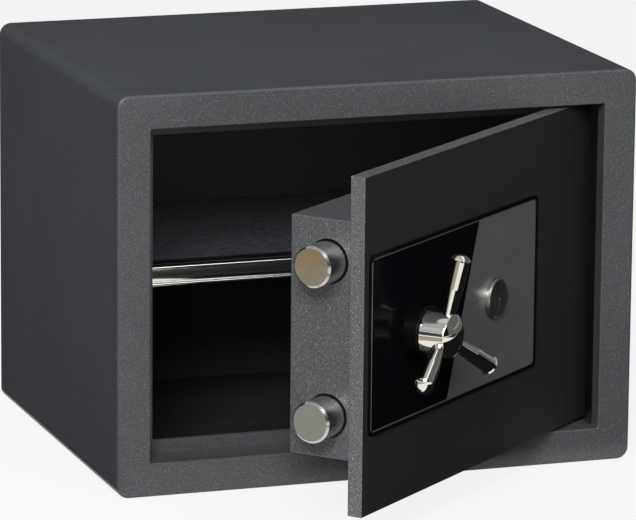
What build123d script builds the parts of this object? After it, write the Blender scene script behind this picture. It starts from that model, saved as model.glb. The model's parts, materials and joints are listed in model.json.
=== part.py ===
from build123d import *
import os
from math import atan2, cos, degrees, radians, sin, sqrt

# A home safe: folded steel case with a recessed door frame, one carpeted shelf, and a thick plate door.
# The door turns on two concealed pins. Its three-spoke handle turns a cam that draws two round bolts,
# and a key barrel lifts a small lock bolt into the bolt carriage.
#
# Millimetres. X runs right, Y runs back, Z runs up. The origin is the middle of the case's base.
# The door stands open by door_angle, with its bolts thrown. Door pieces are placed by the x and z that
# they have when the door is shut, on planes that turn with the door.

# Case
case_width = 350.0
case_height = 260.0
case_depth = 276.0
wall = 3.0
case_corner = 8.0
front_edge_round = 1.8
rear_edge_round = 1.0
frame_width = 22.0
opening_corner = 1.5
opening_edge_round = 0.8

# Door recess and stop
recess_depth = 24.0
return_sheet = 2.0
hinge_return_depth = 11.0
stop_sheet = 3.0
stop_lip = 8.5
stop_corner = 2.0
stop_hinge_gap = 14.0

# Door plate
door_thickness = 10.0
door_gap = 2.0
hinge_edge_gap = 7.0
door_seat_gap = 0.3
door_edge_round = 0.6
door_angle = 40.8

# Hinge
hinge_inset = 19.4
hinge_setback = 7.4
hinge_pin_radius = 4.0
hinge_block_width = 18.0
hinge_block_depth = 15.0
hinge_block_height = 38.0
hinge_pin_grip = 20.0
hinge_pin_tail = 2.0
hinge_pin_chamfer = 0.5
hinge_bracket_sheet = 4.0
hinge_bracket_reach = 14.0
hinge_bracket_margin = 10.0
washer_radius = 8.0
washer_thickness = 1.5

# Fits
running_fit = 0.08
press_fit_gap = 0.02
face_gap = 0.3
free_gap = 0.5
screw_end_gap = 1.0

# Shelf
shelf_top = 128.7
shelf_setback = 94.0
shelf_sheet = 1.5
shelf_flange = 14.0
shelf_side_gap = 0.5
shelf_support_leg = 18.0
shelf_support_sheet = 2.0
shelf_support_length = 150.0
shelf_support_setback = 8.0
shelf_screw_radius = 2.0
shelf_screw_head_radius = 3.8
shelf_screw_head = 2.2
shelf_screw_inset = 20.0
trim_thickness = 4.0
trim_bead = 1.5
trim_web = 1.6
carpet_thickness = 2.5
carpet_setback = 3.0

# Anchor holes for bolts through the base and the back
anchor_radius = 6.0
anchor_carpet_radius = 10.0
base_anchor_spacing = 180.0
base_anchor_setback = 95.0
back_anchor_spacing = 200.0
back_anchor_height = 205.0

# Fascia on the door
fascia_inset = 6.1
fascia_width = 216.0
fascia_height = 113.0
fascia_corner = 4.0
surround_width = 2.2
surround_height = 1.4
fascia_plate_thickness = 0.8
inlay_thickness = 0.3
inlay_rim = 1.1
inlay_split_top = 137.4
inlay_split_bottom = 98.2

# Handle. Its axis lies a little under the door's middle.
handle_from_edge = 63.8
handle_drop = 1.2
collar_base_radius = 17.4
collar_front_radius = 16.8
collar_top = 10.6
collar_edge_round = 0.8
hub_base_radius = 16.2
hub_front_radius = 13.6
hub_side_top = 27.2
hub_dome = 5.0
hub_front_round = 1.6
hub_edge_round = 0.6
spoke_count = 3
spoke_first_angle = 87.2
spoke_root_reach = 8.0
spoke_root_height = 22.0
spoke_tip_reach = 48.4
spoke_tip_height = 30.4
spoke_root_radius = 3.4
spoke_shaft_radius = 5.6
spoke_shaft_reach = 30.0
spoke_knob_radius = 6.3
spoke_knob_length = 2.8
spoke_lip = 0.8
spindle_radius = 6.0
spindle_grip = 12.0
spindle_flat_height = 4.5
set_screw_radius = 2.5
set_screw_length = 5.5
set_screw_key_radius = 1.4
bush_radius = 8.5
bush_flange_radius = 11.0
bush_flange = 2.0

# Key lock
key_from_edge = 164.5
escutcheon_radius = 13.2
escutcheon_base = 1.4
escutcheon_groove_radius = 12.0
escutcheon_groove = 0.7
escutcheon_face_radius = 12.7
escutcheon_height = 3.9
escutcheon_chamfer = 0.8
escutcheon_spigot_radius = 9.4
keyhole_height = 14.0
keyhole_width = 2.6
keyhole_eye_radius = 2.5
barrel_radius = 8.0
barrel_flange_radius = 10.0
barrel_flange = 4.0
barrel_flange_depth = 4.0
barrel_flange_gap = 1.0
barrel_pin_radius = 1.8
barrel_pin_length = 5.6
lock_bolt_travel = 8.5
lock_bolt_width = 12.0
lock_bolt_sheet = 4.0
lock_bolt_tail_width = 24.0
lock_bolt_tail_drop = 11.0
lock_bolt_shoulder = 16.0
lock_bolt_proud = 1.5
lock_pin_clearance = 0.35
lock_case_width = 44.0
lock_case_below = 30.0
lock_case_above = 28.0
lock_case_depth = 20.0
lock_case_sheet = 2.0
lock_cover_sheet = 1.5
lock_screw_radius = 2.0
lock_screw_head_radius = 3.6
lock_screw_head = 2.0
lock_screw_inset = 5.5
lock_post_radius = 4.0

# Bolt work
bolt_radius = 13.0
bolt_spacing = 97.0
bolt_axis_depth = 22.0
bolt_travel = 20.0
bolt_proud = 20.5
bolt_chamfer = 1.4
bolt_flat_height = 10.5
bolt_flat_length = 26.0
bolt_hole_radius = 14.1
box_inset = 12.0
box_width = 220.0
box_height = 150.0
box_depth = 48.5
box_sheet = 2.0
box_edge_round = 1.2
box_post_radius = 4.5
box_post_edge_inset = 7.5
box_post_free_inset = 24.0
box_post_hinge_inset = 12.0
box_screw_radius = 2.5
box_screw_head_radius = 4.8
box_screw_head = 2.6
box_screw_length = 12.0
box_screw_round = 1.0
box_screw_cross = 5.3
box_screw_slot = 1.1
box_screw_slot_depth = 1.6
guide_width = 9.0
guide_margin = 3.0
guide_back_margin = 2.5
carriage_sheet = 4.0
carriage_end_gap = 5.0
arm_below = 12.0
lock_flange_gap = 3.0
lock_flange_sheet = 3.0
lock_flange_margin = 8.0
lock_flange_land = 3.5
lock_hole_clearance = 0.6
cam_pin_radius = 3.0
cam_pin_clearance = 0.7
cam_pin_proud = 1.0
cam_disc_rim = 3.5
cam_disc_sheet = 4.0
cam_disc_gap = 3.5
cam_screw_radius = 2.5
cam_screw_head_radius = 5.0
cam_screw_head = 2.5
cam_screw_length = 10.0
cam_screw_cross = 7.0
cam_screw_slot = 1.2
stud_radius = 4.0
stud_shoulder_radius = 6.0
stud_nut_width = 13.0
stud_nut = 4.0
stud_proud = 0.5
stud_slot_end_gap = 1.0
stud_x_from_handle = 32.5
stud_upper = 25.0
stud_lower = 5.0
carriage_screw_radius = 3.0
carriage_screw_head_radius = 5.2
carriage_screw_head = 3.0
carriage_screw_length = 12.0
carriage_screw_key_radius = 2.4
carriage_screw_key_depth = 1.8

# Places in the case
front_y = -case_depth / 2
back_y = case_depth / 2
middle_z = case_height / 2
inner_width = case_width - 2 * wall
inner_height = case_height - 2 * wall
inner_corner = case_corner - wall
opening_width = case_width - 2 * frame_width
opening_height = case_height - 2 * frame_width
stop_y = front_y + recess_depth
panel_y = back_y - wall

# Places on the shut door
free_edge_x = -opening_width / 2 + door_gap
hinge_edge_x = opening_width / 2 - hinge_edge_gap
door_width = hinge_edge_x - free_edge_x
door_height = opening_height - 2 * door_gap
door_bottom = frame_width + door_gap
door_front_y = stop_y - door_seat_gap - door_thickness
hinge_x = opening_width / 2 - hinge_inset
hinge_y = door_front_y + door_thickness + hinge_setback
stop_end_x = hinge_x - stop_hinge_gap
handle_x = free_edge_x + handle_from_edge
handle_z = middle_z - handle_drop
key_x = free_edge_x + key_from_edge
box_x = free_edge_x + box_inset

# Depths behind the door's back face
plate_depth = bolt_axis_depth + bolt_flat_height
cam_disc_depth = plate_depth - cam_disc_gap - cam_disc_sheet
lock_bolt_depth = barrel_flange_depth + barrel_flange + barrel_flange_gap

# The cam and the key barrel each turn a quarter, from 45 degrees one side of upright to 45 the other,
# so each pin's throw sets the radius that it stands at.
quarter = radians(45)
cam_radius = bolt_travel / (2 * sin(quarter))
barrel_pin_reach = lock_bolt_travel / (2 * sin(quarter))

# Directions of the open door
swing = radians(door_angle)
along = Vector(cos(swing), sin(swing), 0)
outward = Vector(sin(swing), -cos(swing), 0)


def facing_front(y):
    """Plane across the case at depth y, facing the front, with x right and y up."""
    return Plane(origin=(0, y, 0), x_dir=(1, 0, 0), z_dir=(0, -1, 0))


def door_point(x, z, proud):
    """A point on the open door: x and z as on the shut door, proud measured out of its front face."""
    from_hinge = along * (x - hinge_x) + outward * (hinge_y - door_front_y + proud)
    return Vector(hinge_x, hinge_y, z) + from_hinge


def on_door(proud):
    """Plane parallel to the door's front face and facing outward. Negative proud goes into the safe."""
    return Plane(origin=door_point(0, 0, proud), x_dir=along, z_dir=outward)


def behind_door(depth):
    """Plane parallel to the door, depth behind its back face, facing outward."""
    return on_door(-door_thickness - depth)


def across_door(x, z):
    """Plane square to the door's width at the bolt axis depth, facing the free edge, with y up."""
    origin = door_point(x, z, -door_thickness - bolt_axis_depth)
    return Plane(origin=origin, x_dir=outward, z_dir=-along)


def through_axis(x, z):
    """Plane that holds an axis square to the door at x, z: its x runs along the door, its y outward."""
    return Plane(origin=door_point(x, z, 0), x_dir=along, z_dir=(0, 0, -1))


def axis_at(x, z):
    return Axis(door_point(x, z, 0), outward)


def level_at_hinge(z):
    """Level plane on the hinge axis, with x along the open door and y toward its back."""
    return Plane(origin=(hinge_x, hinge_y, z), x_dir=along, z_dir=(0, 0, 1))


def keep(piece, name):
    piece.part.label = name
    export_step(piece.part, f"parts/{name}.step")


# The wrap is one folded sheet: base, sides and top, with bent long edges.
with BuildPart() as body_wrap:
    with BuildSketch(facing_front(front_y + wall)):
        with Locations((0, middle_z)):
            RectangleRounded(case_width, case_height, case_corner)
            RectangleRounded(inner_width, inner_height, inner_corner, mode=Mode.SUBTRACT)
    extrude(amount=-(case_depth - wall))
    rear_edges = body_wrap.faces().sort_by(Axis.Y)[-1].outer_wire().edges()
    fillet(rear_edges, rear_edge_round)
    with BuildSketch(Plane.XY):
        with Locations((0, front_y + base_anchor_setback)):
            with GridLocations(base_anchor_spacing, 0, 2, 1):
                Circle(anchor_radius)
    extrude(amount=wall, mode=Mode.SUBTRACT)
keep(body_wrap, "body_wrap")

# The back panel is welded inside the wrap's rear end.
with BuildPart() as back_panel:
    with BuildSketch(facing_front(panel_y)):
        with Locations((0, middle_z)):
            RectangleRounded(inner_width, inner_height, inner_corner)
        with Locations((0, back_anchor_height)):
            with GridLocations(back_anchor_spacing, 0, 2, 1):
                Circle(anchor_radius, mode=Mode.SUBTRACT)
    extrude(amount=-wall)
keep(back_panel, "back_panel")

# The front frame closes the wrap's front end round the door opening.
with BuildPart() as front_frame:
    with BuildSketch(facing_front(front_y)):
        with Locations((0, middle_z)):
            RectangleRounded(case_width, case_height, case_corner)
    extrude(amount=-wall)
    fillet(front_frame.edges().group_by(Axis.Y)[0], front_edge_round)
    with BuildSketch(facing_front(front_y)):
        with Locations((0, middle_z)):
            RectangleRounded(opening_width, opening_height, opening_corner)
    extrude(amount=-wall, mode=Mode.SUBTRACT)
    mouth_edges = front_frame.faces().sort_by(Axis.Y)[0].inner_wires()[0].edges()
    fillet(mouth_edges, opening_edge_round)
keep(front_frame, "front_frame")

# The return lines the recess. It is shallow on the hinge side, where the door's edge swings in behind it.
with BuildPart() as door_recess:
    with BuildSketch(facing_front(front_y + wall)) as return_ring:
        with Locations((0, middle_z)):
            RectangleRounded(
                opening_width + 2 * return_sheet, opening_height + 2 * return_sheet, opening_corner + return_sheet
            )
            RectangleRounded(opening_width, opening_height, opening_corner, mode=Mode.SUBTRACT)
    extrude(amount=-(hinge_return_depth - wall))
    with BuildSketch(facing_front(front_y + hinge_return_depth)):
        with Locations((0, middle_z)):
            RectangleRounded(
                opening_width + 2 * return_sheet, opening_height + 2 * return_sheet, opening_corner + return_sheet
            )
            RectangleRounded(opening_width, opening_height, opening_corner, mode=Mode.SUBTRACT)
        with Locations((opening_width / 2 + return_sheet, middle_z)):
            hinge_side = 2 * (return_sheet + opening_corner)
            Rectangle(hinge_side, opening_height + 4 * return_sheet, mode=Mode.SUBTRACT)
    extrude(amount=-(recess_depth - hinge_return_depth))
keep(door_recess, "door_recess")

# The stop is a plate behind the recess. Its lip stands in past the opening on three sides.
with BuildPart() as door_stop:
    with BuildSketch(facing_front(stop_y)):
        with Locations((0, middle_z)):
            RectangleRounded(inner_width, inner_height, inner_corner)
        lip_x = -opening_width / 2 + stop_lip
        with Locations((lip_x + case_width / 2, middle_z)):
            RectangleRounded(case_width, opening_height - 2 * stop_lip, stop_corner, mode=Mode.SUBTRACT)
        with Locations((stop_end_x + case_width / 2, middle_z)):
            Rectangle(case_width, case_height, mode=Mode.SUBTRACT)
    extrude(amount=-stop_sheet)
keep(door_stop, "door_stop")

# Hinge brackets: level plates welded to the side wall, each with the hole that a door pin turns in.
bracket_front = stop_y
bracket_back = hinge_y + hinge_bracket_reach
bracket_left = hinge_x - hinge_bracket_margin
bracket_right = case_width / 2 - wall
for bracket_name, bracket_z in (
    ("lower_hinge_bracket", frame_width - hinge_bracket_sheet),
    ("upper_hinge_bracket", case_height - frame_width),
):
    with BuildPart() as hinge_bracket:
        with BuildSketch(Plane.XY.offset(bracket_z)):
            with Locations(((bracket_left + bracket_right) / 2, (bracket_front + bracket_back) / 2)):
                Rectangle(bracket_right - bracket_left, bracket_back - bracket_front)
            with Locations((hinge_x, hinge_y)):
                Circle(hinge_pin_radius + running_fit, mode=Mode.SUBTRACT)
        extrude(amount=hinge_bracket_sheet)
    keep(hinge_bracket, bracket_name)

# The thrust washer carries the door on the lower bracket.
with BuildPart() as hinge_washer:
    with BuildSketch(Plane.XY.offset(frame_width)):
        with Locations((hinge_x, hinge_y)):
            Circle(washer_radius)
            Circle(hinge_pin_radius + running_fit, mode=Mode.SUBTRACT)
    extrude(amount=washer_thickness)
keep(hinge_washer, "hinge_washer")

# Shelf tray: a sheet with its front edge turned down.
shelf_front = front_y + shelf_setback
shelf_back = panel_y - free_gap
shelf_width = inner_width - 2 * shelf_side_gap
support_front = shelf_front + shelf_sheet + shelf_support_setback
support_top = shelf_top - shelf_sheet
support_x = inner_width / 2 - shelf_support_leg / 2
screw_rows = (support_front + shelf_screw_inset, support_front + shelf_support_length - shelf_screw_inset)
with BuildPart() as shelf:
    with BuildSketch(Plane.YZ.offset(-shelf_width / 2)):
        with BuildLine():
            Polyline(
                (shelf_front, shelf_top - shelf_flange),
                (shelf_front, shelf_top),
                (shelf_back, shelf_top),
                (shelf_back, shelf_top - shelf_sheet),
                (shelf_front + shelf_sheet, shelf_top - shelf_sheet),
                (shelf_front + shelf_sheet, shelf_top - shelf_flange),
                close=True,
            )
        make_face()
    extrude(amount=shelf_width)
    with BuildSketch(Plane.XY.offset(shelf_top - shelf_sheet)):
        with Locations([(side * support_x, y) for side in (-1, 1) for y in screw_rows]):
            Circle(shelf_screw_radius + press_fit_gap)
    extrude(amount=shelf_sheet, mode=Mode.SUBTRACT)
keep(shelf, "shelf")

# Shelf supports: angles fixed to the side walls under the shelf.
for support_name, side in (("left_shelf_support", -1), ("right_shelf_support", 1)):
    with BuildPart() as shelf_support:
        with BuildSketch(Plane.XY.offset(support_top - shelf_support_leg)):
            wall_leg_x = side * (inner_width - shelf_support_sheet) / 2
            with Locations((wall_leg_x, support_front + shelf_support_length / 2)):
                Rectangle(shelf_support_sheet, shelf_support_length)
        extrude(amount=shelf_support_leg)
        with BuildSketch(Plane.XY.offset(support_top - shelf_support_sheet)):
            with Locations((side * support_x, support_front + shelf_support_length / 2)):
                Rectangle(shelf_support_leg, shelf_support_length)
            with Locations([(side * support_x, y) for y in screw_rows]):
                Circle(shelf_screw_radius + press_fit_gap, mode=Mode.SUBTRACT)
        extrude(amount=shelf_support_sheet)
        with BuildSketch(Plane.XY.offset(support_top - shelf_support_sheet)):
            with Locations([(side * support_x, y) for y in screw_rows]):
                Circle(shelf_screw_radius + press_fit_gap)
        extrude(amount=shelf_support_sheet, mode=Mode.SUBTRACT)
    keep(shelf_support, support_name)

# Four screws from below hold the shelf to its supports.
with BuildPart() as shelf_screws:
    screw_spots = [(side * support_x, y) for side in (-1, 1) for y in screw_rows]
    with BuildSketch(Plane.XY.offset(support_top - shelf_support_sheet)):
        with Locations(screw_spots):
            Circle(shelf_screw_radius)
    extrude(amount=shelf_support_sheet + shelf_sheet)
    with BuildSketch(Plane.XY.offset(support_top - shelf_support_sheet - shelf_screw_head)):
        with Locations(screw_spots):
            Circle(shelf_screw_head_radius)
    extrude(amount=shelf_screw_head)
keep(shelf_screws, "shelf_screws")

# Shelf trim: a bright strip on the turned-down edge, with a bead along its top and its bottom.
with BuildPart() as shelf_trim:
    with BuildSketch(Plane.YZ.offset(-shelf_width / 2)):
        web_front = shelf_front - trim_thickness + trim_web
        with Locations(((web_front + shelf_front) / 2, shelf_top - shelf_flange / 2)):
            Rectangle(shelf_front - web_front, shelf_flange)
        bead_y = shelf_front - trim_thickness + trim_bead
        for bead_z in (shelf_top - trim_bead, shelf_top - shelf_flange + trim_bead):
            with Locations((bead_y, bead_z)):
                Circle(trim_bead)
            with Locations(((bead_y + shelf_front) / 2, bead_z)):
                Rectangle(shelf_front - bead_y, 2 * trim_bead)
        crown_half = shelf_flange / 2 - 2 * trim_bead
        crown_y = shelf_front - trim_thickness + trim_web / 2
        with BuildLine():
            ThreePointArc(
                (web_front, shelf_top - shelf_flange / 2 - crown_half),
                (crown_y, shelf_top - shelf_flange / 2),
                (web_front, shelf_top - shelf_flange / 2 + crown_half),
            )
            Line(
                (web_front, shelf_top - shelf_flange / 2 + crown_half),
                (web_front, shelf_top - shelf_flange / 2 - crown_half),
            )
        make_face()
    extrude(amount=shelf_width)
keep(shelf_trim, "shelf_trim")

# Carpets on the shelf and on the floor.
with BuildPart() as shelf_carpet:
    carpet_front = shelf_front + carpet_setback
    with BuildSketch(Plane.XY.offset(shelf_top)):
        with Locations((0, (carpet_front + shelf_back) / 2)):
            Rectangle(shelf_width, shelf_back - carpet_front)
    extrude(amount=carpet_thickness)
keep(shelf_carpet, "shelf_carpet")

with BuildPart() as floor_carpet:
    carpet_front = stop_y + stop_sheet + free_gap
    with BuildSketch(Plane.XY.offset(wall)):
        with Locations((0, (carpet_front + panel_y - free_gap) / 2)):
            Rectangle(inner_width - 2 * inner_corner, panel_y - free_gap - carpet_front)
        with Locations((0, front_y + base_anchor_setback)):
            with GridLocations(base_anchor_spacing, 0, 2, 1):
                Circle(anchor_carpet_radius, mode=Mode.SUBTRACT)
    extrude(amount=carpet_thickness)
keep(floor_carpet, "floor_carpet")

# Door plate
door_middle_x = (free_edge_x + hinge_edge_x) / 2
with BuildPart() as door_plate:
    with BuildSketch(on_door(0)):
        with Locations((door_middle_x, middle_z)):
            Rectangle(door_width, door_height)
    extrude(amount=-door_thickness)
    fillet(door_plate.edges(), door_edge_round)
    with BuildSketch(on_door(0)):
        with Locations((handle_x, handle_z)):
            Circle(bush_radius + press_fit_gap)
        with Locations((key_x, middle_z)):
            Circle(barrel_radius + running_fit)
    extrude(amount=-door_thickness, mode=Mode.SUBTRACT)
    with BuildSketch(on_door(0)):
        with Locations((key_x, middle_z)):
            Circle(escutcheon_spigot_radius + press_fit_gap)
    extrude(amount=-bush_flange, mode=Mode.SUBTRACT)
keep(door_plate, "door_plate")

# Fascia: a black surround, a satin plate inside it, and a gloss black inlay over the plate's free side.
fascia_x = free_edge_x + fascia_inset
fascia_middle_x = fascia_x + fascia_width / 2
plate_width = fascia_width - 2 * surround_width
plate_height = fascia_height - 2 * surround_width
plate_corner = fascia_corner - surround_width / 2
with BuildPart() as fascia_surround:
    with BuildSketch(on_door(0)):
        with Locations((fascia_middle_x, middle_z)):
            RectangleRounded(fascia_width, fascia_height, fascia_corner)
            RectangleRounded(plate_width, plate_height, plate_corner, mode=Mode.SUBTRACT)
    extrude(amount=surround_height)
keep(fascia_surround, "fascia_surround")

with BuildPart() as fascia_plate:
    with BuildSketch(on_door(0)):
        with Locations((fascia_middle_x, middle_z)):
            RectangleRounded(plate_width, plate_height, plate_corner)
        with Locations((handle_x, handle_z)):
            Circle(bush_radius + press_fit_gap, mode=Mode.SUBTRACT)
        with Locations((key_x, middle_z)):
            Circle(escutcheon_spigot_radius + press_fit_gap, mode=Mode.SUBTRACT)
    extrude(amount=fascia_plate_thickness)
keep(fascia_plate, "fascia_plate")

with BuildPart() as fascia_inlay:
    inlay_left = fascia_x + surround_width + inlay_rim
    inlay_low = middle_z - plate_height / 2 + inlay_rim
    inlay_high = middle_z + plate_height / 2 - inlay_rim
    with BuildSketch(on_door(fascia_plate_thickness)):
        with BuildLine():
            Polyline(
                (inlay_left, inlay_low),
                (fascia_x + inlay_split_bottom, inlay_low),
                (fascia_x + inlay_split_top, inlay_high),
                (inlay_left, inlay_high),
                close=True,
            )
        make_face()
        with Locations((handle_x, handle_z)):
            Circle(bush_radius + press_fit_gap, mode=Mode.SUBTRACT)
    extrude(amount=inlay_thickness)
keep(fascia_inlay, "fascia_inlay")
fascia_top = fascia_plate_thickness + inlay_thickness

# Handle collar: a black cone on the fascia that hides the spindle's bush.
with BuildPart() as handle_collar:
    with BuildSketch(through_axis(handle_x, handle_z)):
        with BuildLine():
            Polyline(
                (spindle_radius + free_gap, fascia_top),
                (collar_base_radius, fascia_top),
                (collar_front_radius, collar_top),
                (spindle_radius + free_gap, collar_top),
                close=True,
            )
        make_face()
    revolve(axis=axis_at(handle_x, handle_z))
    collar_rim = handle_collar.edges().filter_by(GeomType.CIRCLE).sort_by(SortBy.RADIUS)
    fillet(collar_rim.group_by(SortBy.RADIUS)[-2], collar_edge_round)
keep(handle_collar, "handle_collar")

# The bush is pressed through the door, with its flange on the door's back.
with BuildPart() as spindle_bush:
    with BuildSketch(through_axis(handle_x, handle_z)):
        with BuildLine():
            bore = spindle_radius + running_fit
            Polyline(
                (bore, -door_thickness - bush_flange),
                (bush_flange_radius, -door_thickness - bush_flange),
                (bush_flange_radius, -door_thickness),
                (bush_radius, -door_thickness),
                (bush_radius, fascia_top),
                (bore, fascia_top),
                close=True,
            )
        make_face()
    revolve(axis=axis_at(handle_x, handle_z))
keep(spindle_bush, "spindle_bush")


def dome(radius, base, rise):
    """Half of a dome's outline, from its rim to its top on the axis."""
    ball_radius = (radius**2 + rise**2) / (2 * rise)
    RadiusArc((radius, base), (0, base + rise), -ball_radius)


# Handle hub: a chromed, slightly tapered cylinder with a low dome.
hub_base = collar_top + face_gap
with BuildPart() as handle_hub:
    with BuildSketch(through_axis(handle_x, handle_z)):
        with BuildLine():
            Polyline((0, hub_base), (hub_base_radius, hub_base), (hub_front_radius, hub_side_top))
            dome(hub_front_radius, hub_side_top, hub_dome)
            Line((0, hub_side_top + hub_dome), (0, hub_base))
        make_face()
    revolve(axis=axis_at(handle_x, handle_z))
    hub_rims = handle_hub.edges().filter_by(lambda edge: edge.is_closed).sort_by(axis_at(0, 0))
    fillet(hub_rims[-1], hub_front_round)
    fillet(hub_rims[0], hub_edge_round)
    with BuildSketch(on_door(hub_base)):
        with Locations((handle_x, handle_z)):
            Circle(spindle_radius + press_fit_gap)
    extrude(amount=spindle_grip, mode=Mode.SUBTRACT)
    set_screw_height = hub_base + spindle_grip / 2
    set_screw_origin = door_point(handle_x, handle_z - spindle_radius, set_screw_height)
    with BuildSketch(Plane(origin=set_screw_origin, x_dir=along, z_dir=(0, 0, -1))):
        Circle(set_screw_radius + press_fit_gap)
    extrude(amount=hub_base_radius, mode=Mode.SUBTRACT)

# Spokes: tapered rods with a domed knob, leaning outward. Each is seated in a hole in the hub.
spoke_rise = spoke_tip_height - spoke_root_height
spoke_run = spoke_tip_reach - spoke_root_reach
spoke_length = sqrt(spoke_rise**2 + spoke_run**2)
spoke_lean = atan2(spoke_rise, spoke_run)


def spoke_frame(turn):
    """The spoke's root, its own direction, and a direction square to it that lies in its plane of lean."""
    in_face = along * cos(turn) + Vector(0, 0, sin(turn))
    direction = in_face * cos(spoke_lean) + outward * sin(spoke_lean)
    square = outward * cos(spoke_lean) - in_face * sin(spoke_lean)
    root = door_point(handle_x, handle_z, spoke_root_height) + in_face * spoke_root_reach
    return root, direction, square


def spoke_section():
    """Half outline of a spoke, from its root to the top of its knob: x off the axis, y along it."""
    Polyline(
        (0, 0),
        (spoke_root_radius, 0),
        (spoke_shaft_radius, (spoke_shaft_reach - spoke_root_reach) / cos(spoke_lean)),
        (spoke_shaft_radius, spoke_length - spoke_lip),
        (spoke_knob_radius, spoke_length),
    )
    dome(spoke_knob_radius, spoke_length, spoke_knob_length)
    Line((0, spoke_length + spoke_knob_length), (0, 0))


for number in range(spoke_count):
    turn = radians(spoke_first_angle - number * 360 / spoke_count)
    root, direction, square = spoke_frame(turn)
    with BuildPart() as handle_spoke:
        with BuildSketch(Plane(origin=root, x_dir=square, z_dir=square.cross(direction))):
            with BuildLine():
                spoke_section()
            make_face()
        revolve(axis=Axis(root, direction))
    keep(handle_spoke, f"handle_spoke_{number + 1}")
    with handle_hub:
        add(handle_spoke.part, mode=Mode.SUBTRACT)
keep(handle_hub, "handle_hub")

# The set screw pins the hub to the spindle from below.
with BuildPart() as hub_set_screw:
    with BuildSketch(Plane(origin=set_screw_origin, x_dir=along, z_dir=(0, 0, -1))):
        Circle(set_screw_radius)
    extrude(amount=set_screw_length)
    with BuildSketch(Plane(origin=set_screw_origin, x_dir=along, z_dir=(0, 0, -1)).offset(set_screw_length)):
        RegularPolygon(set_screw_key_radius, 6)
    extrude(amount=-set_screw_length / 2, mode=Mode.SUBTRACT)
keep(hub_set_screw, "hub_set_screw")

# The spindle carries the hub in front and the cam disc behind.
spindle_back = -door_thickness - cam_disc_depth - cam_disc_sheet
spindle_front = hub_base + spindle_grip
with BuildPart() as handle_spindle:
    with BuildSketch(on_door(spindle_back)):
        with Locations((handle_x, handle_z)):
            Circle(spindle_radius)
            Circle(cam_screw_radius + press_fit_gap, mode=Mode.SUBTRACT)
    extrude(amount=cam_screw_length)
    with BuildSketch(on_door(spindle_back + cam_screw_length)):
        with Locations((handle_x, handle_z)):
            Circle(spindle_radius)
    extrude(amount=spindle_front - spindle_back - cam_screw_length)
    with BuildSketch(on_door(spindle_back)):
        with Locations((handle_x, handle_z + spindle_flat_height + spindle_radius / 2)):
            Rectangle(2 * spindle_radius, spindle_radius)
    extrude(amount=cam_disc_sheet, mode=Mode.SUBTRACT)
keep(handle_spindle, "handle_spindle")

# The cam disc sits on the spindle's flat, and its pin stands in the carriage's slot.
cam_pin_x = handle_x - cam_radius * sin(quarter)
cam_pin_z = handle_z + cam_radius * cos(quarter)
with BuildPart() as cam_disc:
    with BuildSketch(behind_door(cam_disc_depth)):
        with Locations((handle_x, handle_z)):
            Circle(cam_radius + cam_pin_radius + cam_disc_rim)
        with Locations((cam_pin_x, cam_pin_z)):
            Circle(cam_pin_radius + press_fit_gap, mode=Mode.SUBTRACT)
    extrude(amount=-cam_disc_sheet)
    with BuildSketch(behind_door(cam_disc_depth)):
        with Locations((handle_x, handle_z)):
            Circle(spindle_radius + press_fit_gap)
        with Locations((handle_x, handle_z + spindle_flat_height + press_fit_gap + spindle_radius / 2)):
            Rectangle(2 * (spindle_radius + free_gap), spindle_radius, mode=Mode.SUBTRACT)
    extrude(amount=-cam_disc_sheet, mode=Mode.SUBTRACT)
keep(cam_disc, "cam_disc")

with BuildPart() as cam_pin:
    with BuildSketch(behind_door(cam_disc_depth)):
        with Locations((cam_pin_x, cam_pin_z)):
            Circle(cam_pin_radius)
    extrude(amount=-(cam_disc_sheet + cam_disc_gap + carriage_sheet + cam_pin_proud))
keep(cam_pin, "cam_pin")

with BuildPart() as cam_screw:
    with BuildSketch(on_door(spindle_back)):
        with Locations((handle_x, handle_z)):
            Circle(cam_screw_head_radius)
    extrude(amount=-cam_screw_head)
    with BuildSketch(on_door(spindle_back)):
        with Locations((handle_x, handle_z)):
            Circle(cam_screw_radius)
    extrude(amount=cam_screw_length - screw_end_gap)
    with BuildSketch(on_door(spindle_back - cam_screw_head)):
        with Locations((handle_x, handle_z)):
            Rectangle(cam_screw_cross, cam_screw_slot)
            Rectangle(cam_screw_slot, cam_screw_cross)
    extrude(amount=cam_screw_head / 2, mode=Mode.SUBTRACT)
keep(cam_screw, "cam_screw")

# Bolts: chromed bars with a chamfered end, and a flat behind where the carriage is screwed on.
bolt_tip_x = box_x - bolt_proud
carriage_x = box_x + box_sheet + guide_width + guide_margin + carriage_end_gap
bolt_end_x = carriage_x + bolt_flat_length
bolt_heights = (("upper_bolt", middle_z + bolt_spacing / 2), ("lower_bolt", middle_z - bolt_spacing / 2))
carriage_screw_x = carriage_x + bolt_flat_length / 2
for bolt_name, bolt_z in bolt_heights:
    with BuildPart() as bolt:
        with BuildSketch(across_door(bolt_end_x, bolt_z)):
            Circle(bolt_radius)
        extrude(amount=bolt_end_x - bolt_tip_x)
        chamfer(bolt.edges().sort_by(Axis(door_point(0, 0, 0), along))[0], bolt_chamfer)
        with BuildSketch(behind_door(plate_depth)):
            with Locations((carriage_x - free_gap + case_width / 2, bolt_z)):
                Rectangle(case_width, 2 * bolt_radius)
        extrude(amount=-bolt_radius, mode=Mode.SUBTRACT)
        with BuildSketch(behind_door(plate_depth)):
            with Locations((carriage_screw_x, bolt_z)):
                Circle(carriage_screw_radius + press_fit_gap)
        extrude(amount=carriage_screw_length, mode=Mode.SUBTRACT)
    keep(bolt, bolt_name)

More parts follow.
